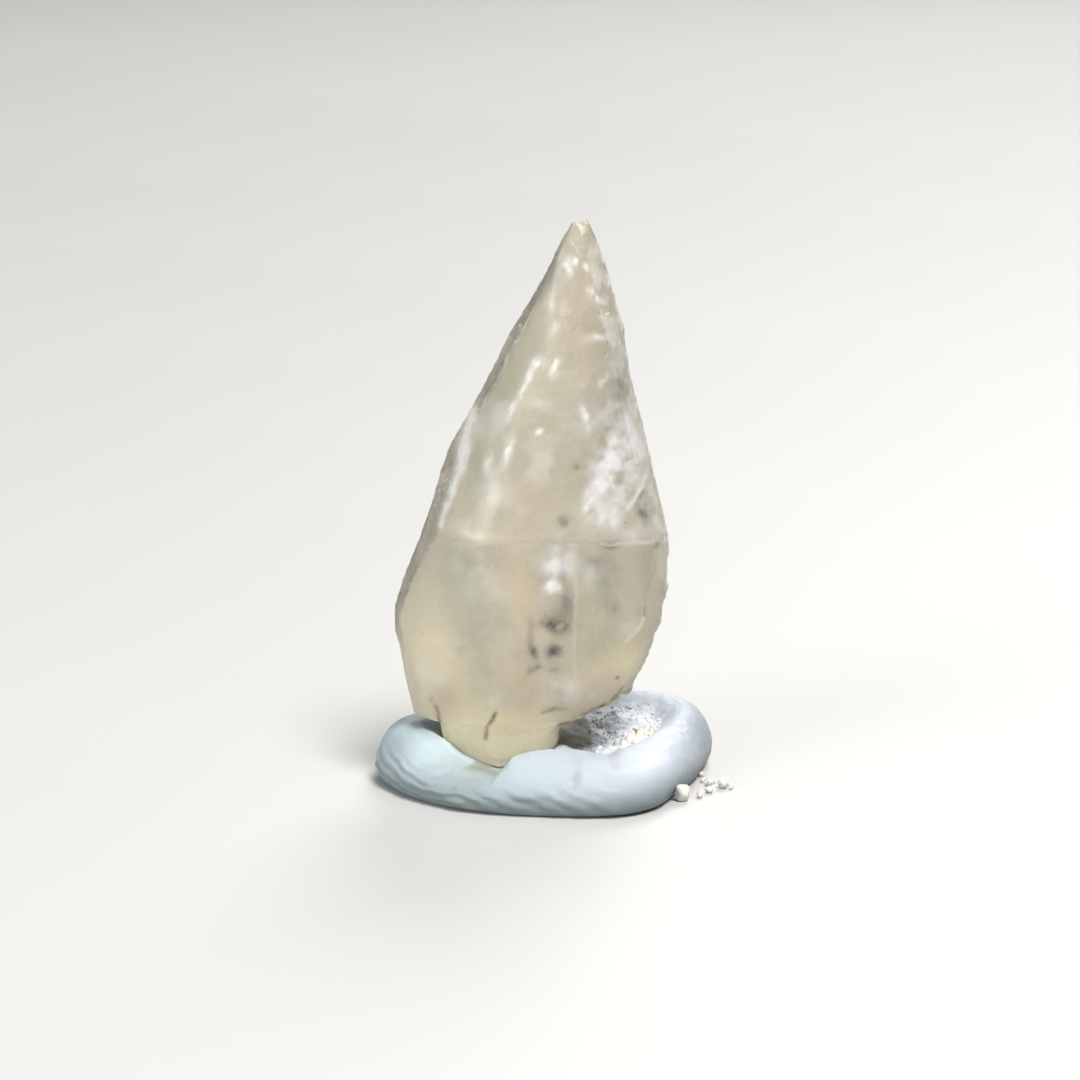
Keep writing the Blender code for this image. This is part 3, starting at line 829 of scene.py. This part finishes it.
def around(values, angle):
    """A smooth closed curve through evenly spaced values: the cubic through four neighbours."""
    values = np.array(values)
    count = len(values)
    place = angle / (2.0 * np.pi) * count % count
    first = place.astype(int)
    t = place - first
    before, start, end, after = (values[(first + k) % count] for k in (-1, 0, 1, 2))
    bend = 2.0 * before - 5.0 * start + 4.0 * end - after
    twist = 3.0 * (start - end) - before + after
    return start + 0.5 * t * ((end - before) + t * (bend + t * twist))


def foot_reach(angle):
    """How far the crystal's foot reaches from the middle, where rays cut its corner polygon."""
    lines = np.array(list(CORNERS.values()))
    polygon = (0.85 * lines[:, 0] + 0.15 * lines[:, 1])[:, :2]
    way = np.stack((np.cos(angle), np.sin(angle)), -1)
    reach = np.zeros(angle.shape)
    for start, end in zip(polygon, np.roll(polygon, -1, 0)):
        run = end - start
        cross = way[:, 0] * run[1] - way[:, 1] * run[0] + 1e-12
        along = (start[0] * run[1] - start[1] * run[0]) / cross
        share = (start[0] * way[:, 1] - start[1] * way[:, 0]) / cross
        reach = np.maximum(reach, np.where((share >= 0) & (share <= 1) & (along > 0), along, 0.0))
    return reach


@functools.cache
def putty_skin():
    """The pressed ring of putty, and the marks on it.

    In each direction the section runs out under the putty, up two quarter ovals to the crest,
    down a slope to the lip at the crystal's foot, and in under the foot. Then every point moves
    along its normal by lumps, finger ridges as cosines, pleats and, in the seat and on the
    scaly right side, by shell-shaped scars.
    """
    angle = np.arange(PUTTY_COLUMNS) / PUTTY_COLUMNS * 2.0 * np.pi
    turn = np.degrees(angle)
    turn = np.where(turn > 180.0, turn - 360.0, turn)
    lobe = ease(turn, -115.0, -104.0) * (1.0 - ease(turn, -72.0, -52.0))
    right_seat = ease(turn, -78.0, -55.0) * (1.0 - ease(turn, 75.0, 100.0))
    reach = around(REACH, angle)
    dip = ease(turn, -151.0, -139.0) * (1.0 - ease(turn, -115.0, -107.0))
    crest = around(CREST_HEIGHT, angle) + LOBE_RISE * lobe - DIP_FALL * dip
    crest_reach = around(CREST_SHARE, angle) * reach
    lip_reach = foot_reach(angle) + LIP_GAP
    lip = around(LIP_HEIGHT, angle) + LOBE_LIP_RISE * lobe - DIP_LIP_FALL * dip
    rest = REST_SHARE * reach
    crest_reach = np.maximum(crest_reach, lip_reach + LEAST_CREST_WIDTH)

    def rows(count, low=0.0):
        return ((np.arange(count) + low) / count)[:, None]

    floor = rows(10, 1.0)[:-1]
    under, wall = rows(20) * np.pi / 2, rows(44) * np.pi / 2
    slope, plug = rows(96), rows(8)
    radius = np.concatenate((
        rest * floor,
        rest + (reach - rest) * np.sin(under),
        crest_reach + (reach - crest_reach) * np.cos(wall),
        crest_reach + (lip_reach - crest_reach) * slope,
        lip_reach * np.ones_like(plug),
        lip_reach * rows(6)[::-1],
    ))
    height = np.concatenate((
        0.0 * rest * floor,
        BULGE_HEIGHT * (1.0 - np.cos(under)) * np.ones_like(rest),
        BULGE_HEIGHT + (crest - BULGE_HEIGHT) * np.sin(wall),
        lip + (crest - lip) * (
            right_seat * np.interp(slope, SEAT_SLOPE[0], SEAT_SLOPE[1])
            + (1.0 - right_seat) * (1.0 - slope**2.2) ** 0.7
        ),
        lip + (SEAT_HEIGHT - lip) * plug,
        SEAT_HEIGHT * np.ones_like(rest) * np.ones((6, 1)),
    ))
    stage = np.concatenate((
        0.0 * floor, 1.0 + under * 2 / np.pi, 2.0 + wall * 2 / np.pi, 3.0 + slope,
        4.0 + plug, 5.0 + rows(6),
    ))
    grid = np.stack((radius * np.cos(angle), radius * np.sin(angle), height), -1)
    normals = outward(grid)
    x, y, z = grid[..., 0], grid[..., 1], grid[..., 2]
    outer = 1.0 - ease(stage, 3.0, 3.35)
    free = ease(z, 0.02, 0.30) * (1.0 - ease(stage, 3.6, 3.95))
    seat = right_seat * ease(stage, 3.08, 3.2) * (1.0 - ease(stage, 4.5, 5.0))
    near_side = ease(-y, -0.5, 1.0)
    warp = 0.10 * layered(grid, 0.9, 201, 3)
    lift = 0.085 * layered(grid, 2.6, 211, 2) * outer + 0.035 * layered(grid, 0.9, 215, 3)
    slant = z * math.cos(RIDGE_LEAN) + x * math.sin(RIDGE_LEAN) + 1.4 * warp
    low = 1.0 - ease(z, 0.95, 1.45)
    ridged = near_side * low * ease(x, -4.6, -3.0) * (1.0 - ease(x, 1.4, 3.6)) * outer
    fading = 0.75 + 0.35 * layered(grid, 1.3, 219, 2)
    lift += RIDGE_HEIGHT * ridged * fading * np.cos(2.0 * np.pi * slant / RIDGE_GAP)
    round_end = np.hypot(x + 3.9, 1.7 * (z - 1.75)) + warp
    wrapped = near_side * (1.0 - ease(x, -3.9, -1.8)) * (1.0 - ease(z, 1.0, 1.7)) * outer
    lift += ROLL_RIDGE_HEIGHT * wrapped * np.cos(2.0 * np.pi * round_end / ROLL_RIDGE_GAP)
    lift -= PLEAT_DEPTH * strokes(x, z, PLEATS) * near_side * outer
    scaly = ease(turn, -48.0, -15.0) * (1.0 - ease(turn, 40.0, 60.0)) * outer
    lift += scaly * (0.12 * scars(grid, 0.26, 221) + 0.010 * layered(grid, 0.2, 223, 2))
    lift += seat * (0.12 * layered(grid, 0.8, 231, 3) + 0.05 * scars(grid, 0.36, 241))
    lift += seat * 0.028 * layered(grid, 0.22, 245, 2)
    lift += 0.006 * layered(grid, 0.16, 251, 2)
    # The hollow under the crystal's overhang, darkened by dirt and by painted shade.
    hollow = np.exp(-(((x - 1.15) / 0.75) ** 2 + ((y + 0.5) / 1.4) ** 2)) * (x > 0.3)
    hollow = np.maximum(hollow, strokes(x, y, GULLY))
    skin = grid + normals * (lift * free)[..., None]
    skin[..., 2] = np.where(stage > 0.5, np.maximum(skin[..., 2], 0.0), 0.0)
    smudges_and_shade = spots(x + 2 * warp, z + 2 * warp, SMUDGES_AND_SHADE) * near_side * outer
    # Dirt and painted shade along the lip at the crystal's foot, strongest in the gap in front of
    # it.
    gap = ease(turn, -134.0, -128.0) * (1.0 - ease(turn, -114.0, -107.0))
    lip_dirt_and_shade = ease(stage, 3.8 - 1.1 * gap, 3.97 - 1.0 * gap) * (1.0 - ease(stage, 4.6, 5.0))
    lip_dirt_and_shade = lip_dirt_and_shade * (0.5 + 0.5 * gap)
    marks = {
        "seat": np.clip(seat, 0.0, 1.0),
        "grime": np.clip(0.6 * smudges_and_shade + lip_dirt_and_shade + 1.3 * hollow * seat, 0.0, 1.0),
        # Painted shade: darker low down on the outside and towards the far left and right.
        "under": np.maximum(
            1.0 - ease(z, 0.2, 1.6), 0.6 * ease(np.abs(x - 0.2), 4.2, 6.0)
        ) * outer,
        "cool": 1.0 - ease(x, -3.5, 2.5),
    }
    return skin, marks


def putty_material(settings):
    """Dull, slightly waxy putty, greener on the left, with grey dirt and a gritty seat, and
    painted shade low down, at the sides and at the crystal's foot.
    """
    made = Nodes("putty_ring")
    mottle = made.noise(1.4, 4.0)
    fine = made.noise(0.14, 3.0)
    colour = made.mix(made.mark("cool"), settings.right_colour, settings.left_colour)
    darker = tuple(part * 0.9 for part in settings.left_colour)
    colour = made.mix(made.span(mottle, 0.35, 0.75, 0.0, 0.5), colour, darker)
    # Painted shade: the marked lower outside and far sides go towards a darker copy of the left
    # colour.
    shaded = tuple(part * 0.41 for part in settings.left_colour)
    colour = made.mix(made.sum("MULTIPLY", made.mark("under"), 0.95), colour, shaded)
    gritty = made.mix(made.span(fine, 0.35, 0.65), (0.55, 0.59, 0.65), (0.63, 0.675, 0.735))
    colour = made.mix(made.sum("MULTIPLY", made.mark("seat"), 0.75), colour, gritty)
    grime = made.sum("MULTIPLY", made.mark("grime"), made.span(mottle, 0.3, 0.7, 0.6, 1.0))
    colour = made.mix(grime, colour, settings.grime_and_shade_colour)
    made.set(
        Base_Color=colour,
        Roughness=made.span(fine, 0.3, 0.7, 0.46, 0.66),
        Subsurface_Weight=0.35,
        Subsurface_Radius=(0.8, 0.9, 1.0),
        Subsurface_Scale=0.0005,
        IOR=1.48,
    )
    made.bump(made.sum("ADD", fine, mottle), 0.02, 0.6)
    return made.material


class PuttySettings(PropertyGroup):
    left_colour: colour_of("Left", "Colour of the cooler left side", (0.395, 0.475, 0.50))
    right_colour: colour_of("Right", "Colour of the right side", (0.46, 0.495, 0.565))
    # Grey dirt and painted shade share this colour.
    grime_and_shade_colour: colour_of("Grime", "Colour of the handling marks", (0.22, 0.235, 0.185))


class MINERAL_OT_putty(Operator):
    """Build the ring of mounting putty"""

    bl_idname = "mineral.putty"
    bl_label = "Putty"

    def execute(self, context):
        skin, marks = putty_skin()
        start, end = (0.0, 0.0, 0.0), (0.0, 0.0, SEAT_HEIGHT)
        mesh = closed_mesh("putty_ring", skin, start, end)
        add_marks(mesh, marks, 0)
        material = putty_material(context.scene.mineral_putty)
        add_piece("putty_ring", mesh, material, "putty")
        return {"FINISHED"}


def turns(rng, count):
    """Random turns as 3 by 3 arrays, from unit quaternions."""
    w, x, y, z = (lambda q: (q / np.linalg.norm(q, axis=0)))(rng.normal(size=(4, count)))
    return np.stack((
        np.stack((1 - 2 * (y * y + z * z), 2 * (x * y - w * z), 2 * (x * z + w * y)), -1),
        np.stack((2 * (x * y + w * z), 1 - 2 * (x * x + z * z), 2 * (y * z - w * x)), -1),
        np.stack((2 * (x * z - w * y), 2 * (y * z + w * x), 1 - 2 * (x * x + y * y)), -1),
    ), -2)


def blob_grid(rows, columns):
    """A unit ball as a grid of points between its two poles."""
    rise = (np.arange(rows) + 0.5) / rows * np.pi
    turn = np.arange(columns) / columns * 2.0 * np.pi
    ring, height = np.sin(rise)[:, None], -np.cos(rise)[:, None]
    return np.stack((ring * np.cos(turn), ring * np.sin(turn), height + 0 * turn), -1)


def flock(name, centres, sizes, ways, rows, columns, lumps, seed, size=0.9, grounded=False):
    """Many small lumpy balls as one mesh.

    Each is the unit ball, its points pushed in or out by noise of its own, stretched by its
    three sizes, turned its own way and carried to its centre, or down to the ground.
    """
    ball = blob_grid(rows, columns).reshape(-1, 3)
    ball = np.concatenate(([[0, 0, -1.0]], ball, [[0, 0, 1.0]]))
    count, each = len(centres), len(ball)
    apart = ball[None] + np.array((7.3, 0.0, 0.0)) * np.arange(count)[:, None, None]
    pushed = ball[None] * (1.0 + lumps * layered(apart, size, seed, 2))[..., None]
    points = np.einsum("nij,nkj->nki", ways, pushed * sizes[:, None, :]) + centres[:, None, :]
    if grounded:
        points[..., 2] -= points[..., 2].min(1, keepdims=True)
    step = (np.arange(count) * each)[:, None, None]
    kinds = closed_faces(rows, columns)
    kinds = [(kind[None] + step).reshape(-1, kind.shape[1]) for kind in kinds]
    return mesh_of(name, points.reshape(-1, 3), kinds)


def at_depth(rows, columns, depth):
    """Points sealed in the crystal, depth millimetres in from its skin towards its axis."""
    skin, _ = crystal_skin()
    surface = skin[rows, columns]
    inward = skin.mean(1)[rows] - surface
    length = np.linalg.norm(inward, axis=-1, keepdims=True)
    return surface + inward * np.minimum(np.asarray(depth)[..., None] / length, 0.9)


def facing(rows, columns):
    """Turns whose third axis is the skin's normal, for flat things that lie along a face."""
    skin, _ = crystal_skin()
    third = outward(skin)[rows, columns]
    first = np.cross(third, (0.0, 0.0, 1.0))
    first /= np.linalg.norm(first, axis=-1, keepdims=True) + 1e-9
    return np.stack((first, np.cross(third, first), third), -1)


def grid_place(x, z):
    """The row and column of the skin's front point that lies nearest to each x, z."""
    skin, _ = crystal_skin()
    last = sum(COLUMNS[: EDGE_BAND + 1])
    row = np.abs(skin[:, :last, 2].mean(1)[None] - z[:, None]).argmin(1)
    column = np.abs(skin[row, :last, 0] - x[:, None]).argmin(1)
    row = np.abs(skin[:, column, 2].T - z[:, None]).argmin(1)
    return row, np.abs(skin[row, :last, 0] - x[:, None]).argmin(1)


def flake_material(name, colour, rough):
    """Small sealed bodies: one colour mottled by noise."""
    made = Nodes(name)
    mottle = made.noise(0.2, 3.0)
    darker = tuple(part * 0.82 for part in colour)
    made.set(
        Base_Color=made.mix(made.span(mottle, 0.3, 0.7), darker, colour),
        Roughness=made.span(mottle, 0.3, 0.7, rough, min(1.0, rough + 0.2)),
        IOR=1.45,
    )
    made.bump(mottle, 0.01)
    return made.material


class InclusionSettings(PropertyGroup):
    flakes: count_of("Veil flakes", "Tiny flakes in the healed cracks", 2600)
    flake_size: amount("LENGTH", "Flake size", "Radius of an average flake", 0.00006)
    flecks: count_of("Dark flecks", "Dark flecks in the smoky marks", 260)
    flaw_depth: amount("LENGTH", "Flaw depth", "How deep the dark flaws lie", 0.00035)


class MINERAL_OT_inclusions(Operator):
    """Build what is sealed in the crystal: white veils and dark flaws"""

    bl_idname = "mineral.inclusions"
    bl_label = "Inclusions"

    def execute(self, context):
        settings = context.scene.mineral_inclusions
        rng = np.random.default_rng(17)
        self.add_veils(settings, rng)
        self.add_flaws(settings, rng)
        return {"FINISHED"}

    def add_veils(self, settings, rng):
        """Flakes scattered over the veils, on sheets that curve through the body."""
        count = settings.flakes
        veils = np.array(VEILS)
        share = veils[:, 5] * veils[:, 2]
        kind = rng.choice(len(veils), count, p=share / share.sum())
        offset = rng.normal(scale=0.55, size=(2, count))
        x = veils[kind, 0] + offset[0] * veils[kind, 3]
        z = veils[kind, 1] + offset[1] * veils[kind, 2]
        rows, columns = grid_place(x, z)
        depth = 0.55 + 0.35 * np.sin(1.7 * x + 1.1 * z + kind) + rng.normal(scale=0.05, size=count)
        centres = at_depth(rows, columns, np.clip(depth, 0.12, None))
        size = settings.flake_size / MM * rng.lognormal(0.0, 0.5, (count, 1))
        sizes = size * np.array((1.0, 0.8, 0.16))
        mesh = flock("veil_flakes", centres, sizes, facing(rows, columns), 3, 6, 0.25, 5)
        material = flake_material("veil_flakes", (0.95, 0.95, 0.97), 0.25)
        add_piece("veil_flakes", mesh, material)

    def add_flaws(self, settings, rng):
        """Dark flecks strewn through the smoky marks, more where a mark is stronger."""
        smoke = np.array([row for row in SMOKE if row[5] >= 0.4])
        share = smoke[:, 5] * np.sqrt(smoke[:, 2] * smoke[:, 3])
        kind = rng.choice(len(smoke), settings.flecks, p=share / share.sum())
        lean = np.radians(smoke[kind, 4])
        along, across = rng.normal(scale=0.5, size=(2, settings.flecks)) * smoke[kind, 2:4].T
        x = smoke[kind, 0] + along * np.sin(lean) + across * np.cos(lean)
        z = smoke[kind, 1] + along * np.cos(lean) - across * np.sin(lean)
        rows, columns = grid_place(x, z)
        depth = settings.flaw_depth / MM * rng.uniform(0.5, 1.6, settings.flecks)
        size = 0.042 * rng.lognormal(0.0, 0.45, (settings.flecks, 1))
        sizes = size * rng.uniform((0.5, 0.5, 0.15), (1.3, 1.3, 0.4), (settings.flecks, 3))
        centres = at_depth(rows, columns, depth)
        mesh = flock("dark_flaws", centres, sizes, facing(rows, columns), 4, 7, 0.35, 8)
        material = flake_material("dark_flaws", (0.17, 0.16, 0.14), 0.5)
        add_piece("dark_flaws", mesh, material)


class GrainSettings(PropertyGroup):
    grains: count_of("Grains", "Glittering grains in the putty's seat", 900)
    clumped: count_of("Clumped grains", "Cream grains in the seat's clump", 480)
    grain_size: amount("LENGTH", "Grain size", "Radius of an average grain", 0.00003)
    grain_colour: colour_of("Cream", "Colour of clumped grains and crumbs", (0.74, 0.705, 0.65))
    glint_colour: colour_of("Glint", "Colour of the glittering grains", (0.62, 0.66, 0.71))


class MINERAL_OT_grains(Operator):
    """Scatter grains in the seat and crumbs beside the putty"""

    bl_idname = "mineral.grains"
    bl_label = "Grains and crumbs"

    def execute(self, context):
        settings = context.scene.mineral_grains
        skin, marks = putty_skin()
        x, y = skin[..., 0], skin[..., 1]
        clump = np.exp(-(((x - 4.1) / 0.7) ** 2) - ((y + 1.4) / 0.8) ** 2)
        spread = marks["seat"] ** 2 * np.hypot(x, y) * ease(x, 1.3, 2.2)
        patchy = 0.3 + 0.7 * ease(layered(skin, 0.9, 301), 0.0, 0.6)
        glint, cream = settings.glint_colour, settings.grain_colour
        self.add_grains("seat_grains", settings.grains, spread * patchy, glint, GLINT_SCALE)
        self.add_grains("cream_grains", settings.clumped, spread * clump, cream, CREAM_SCALE)
        self.add_crumbs(settings)
        return {"FINISHED"}

    def add_grains(self, name, count, weight, colour, scale):
        """Angular grains half sunk in the seat, more of them where the weight is greater."""
        rng = np.random.default_rng(count)
        skin, _ = putty_skin()
        weight = (weight / weight.sum()).ravel()
        chosen = rng.choice(len(weight), count, replace=False, p=weight)
        centres = skin.reshape(-1, 3)[chosen]
        size = bpy.context.scene.mineral_grains.grain_size / MM * scale
        sizes = size * rng.lognormal(0.0, 0.5, (count, 1)) * rng.uniform(0.5, 1.3, (count, 3))
        mesh = flock(name, centres, sizes, turns(rng, count), 3, 5, 0.6, 3)
        add_piece(name, mesh, flake_material(name, colour, 0.3))

    def add_crumbs(self, settings):
        """Crumbs, each a lumpy ball resting on the ground."""
        rng = np.random.default_rng(29)
        rows = np.array(CRUMBS)
        centres = np.stack((rows[:, 0], rows[:, 1], rows[:, 2] * 0.92), -1)
        sizes = rows[:, 2:3] * rng.uniform(0.85, 1.05, (len(rows), 3))
        mesh = flock("crumbs", centres, sizes, turns(rng, len(rows)), 14, 20, 0.27, 13, 0.8, True)
        material = flake_material("crumbs", settings.grain_colour, 0.6)
        add_piece("crumbs", mesh, material)


class StageSettings(PropertyGroup):
    floor_size: amount("LENGTH", "Floor", "Width of the floor", 3.0, 0.1)
    floor_colour: colour_of("Floor colour", "Colour of the floor", (0.51, 0.51, 0.50))
    key_power: amount("POWER", "Key light", "Power of the light at the upper right", 3.7)
    fill_power: amount("POWER", "Fill light", "Power of the light at the left", 1.45)
    rim_power: amount("POWER", "Rim light", "Power of the light behind", 1.35)
    view_height: amount("LENGTH", "Camera height", "Height of the camera", 0.0381)
    view_distance: amount("LENGTH", "Camera distance", "Distance of the camera", 0.145685, 0.01)
    view_pitch: FloatProperty(
        name="Camera pitch", description="How far the camera looks down",
        default=math.radians(11.4), subtype="ANGLE", unit="ROTATION",
    )


class MINERAL_OT_stage(Operator):
    """Set up the plain floor, the soft light and the camera"""

    bl_idname = "mineral.stage"
    bl_label = "Stage"

    def execute(self, context):
        settings = context.scene.mineral_stage
        half = settings.floor_size / 2
        mesh = bpy.data.meshes.new("floor")
        corners = [(-half, -half, 0), (half, -half, 0), (half, half, 0), (-half, half, 0)]
        mesh.from_pydata(corners, [], [(0, 1, 2, 3)])
        made = Nodes("floor")
        speckle = made.noise(40.0, 2.0)
        tone = tuple(part * 0.97 for part in settings.floor_colour)
        made.set(
            Base_Color=made.mix(made.span(speckle, 0.3, 0.7), tone, settings.floor_colour),
            Roughness=0.55,
        )
        mesh.materials.append(made.material)
        floor = bpy.data.objects.new("floor", mesh)
        context.scene.collection.objects.link(floor)

        world = bpy.data.worlds.new("studio")
        world.use_nodes = True
        world.node_tree.nodes["Background"].inputs["Color"].default_value = (0.85, 0.88, 0.92, 1)
        world.node_tree.nodes["Background"].inputs["Strength"].default_value = 0.28
        context.scene.world = world
        self.add_light("key", (0.14, -0.22, 0.46), 0.22, settings.key_power, (1.0, 0.98, 0.95))
        self.add_light("fill", (-0.34, -0.32, 0.16), 0.30, settings.fill_power, (0.95, 0.98, 1.0))
        self.add_light("rim", (0.12, 0.42, 0.30), 0.24, settings.rim_power, (1.0, 0.98, 0.95))

        camera = bpy.data.objects.new("camera", bpy.data.cameras.new("camera"))
        camera.data.sensor_width = SENSOR_WIDTH
        camera.data.lens = SENSOR_WIDTH * FOCAL_PIXELS / PICTURE_PIXELS
        camera.data.clip_start = 0.001
        camera.data.clip_end = 10.0
        camera.location = (CAMERA_ASIDE * MM, -settings.view_distance, settings.view_height)
        camera.rotation_euler = (math.pi / 2 - settings.view_pitch, 0.0, 0.0)
        context.scene.collection.objects.link(camera)
        context.scene.camera = camera
        return {"FINISHED"}

    def add_light(self, name, place, size, power, colour):
        data = bpy.data.lights.new(name, "AREA")
        data.shape = "DISK"
        data.size = size
        data.energy = power
        data.color = colour
        light = bpy.data.objects.new(name, data)
        light.location = place
        aim = Vector((0.0, 0.0, LIGHT_AIM_HEIGHT)) - Vector(place)
        light.rotation_euler = aim.to_track_quat("-Z", "Y").to_euler()
        bpy.context.scene.collection.objects.link(light)


class MINERAL_PT_panel(Panel):
    """Lists what can be built"""

    bl_label = "Mineral"
    bl_idname = "MINERAL_PT_panel"
    bl_space_type = "VIEW_3D"
    bl_region_type = "UI"
    bl_category = "Mineral"

    def draw(self, context):
        for operator in OPERATORS:
            self.layout.operator(operator.bl_idname)


SETTINGS = {
    "mineral_crystal": CrystalSettings,
    "mineral_inclusions": InclusionSettings,
    "mineral_putty": PuttySettings,
    "mineral_grains": GrainSettings,
    "mineral_stage": StageSettings,
}
OPERATORS = (
    MINERAL_OT_crystal,
    MINERAL_OT_inclusions,
    MINERAL_OT_putty,
    MINERAL_OT_grains,
    MINERAL_OT_stage,
)


def register():
    for kind in (*SETTINGS.values(), *OPERATORS, MINERAL_PT_panel):
        bpy.utils.register_class(kind)
    for name, kind in SETTINGS.items():
        setattr(bpy.types.Scene, name, PointerProperty(type=kind))


def unregister():
    for name in SETTINGS:
        delattr(bpy.types.Scene, name)
    for kind in reversed((*SETTINGS.values(), *OPERATORS, MINERAL_PT_panel)):
        bpy.utils.unregister_class(kind)


def main():
    register()
    bpy.context.scene.view_settings.view_transform = "Standard"
    bpy.ops.mineral.crystal()
    bpy.ops.mineral.inclusions()
    bpy.ops.mineral.putty()
    bpy.ops.mineral.grains()
    bpy.ops.mineral.stage()


if __name__ == "__main__":
    main()
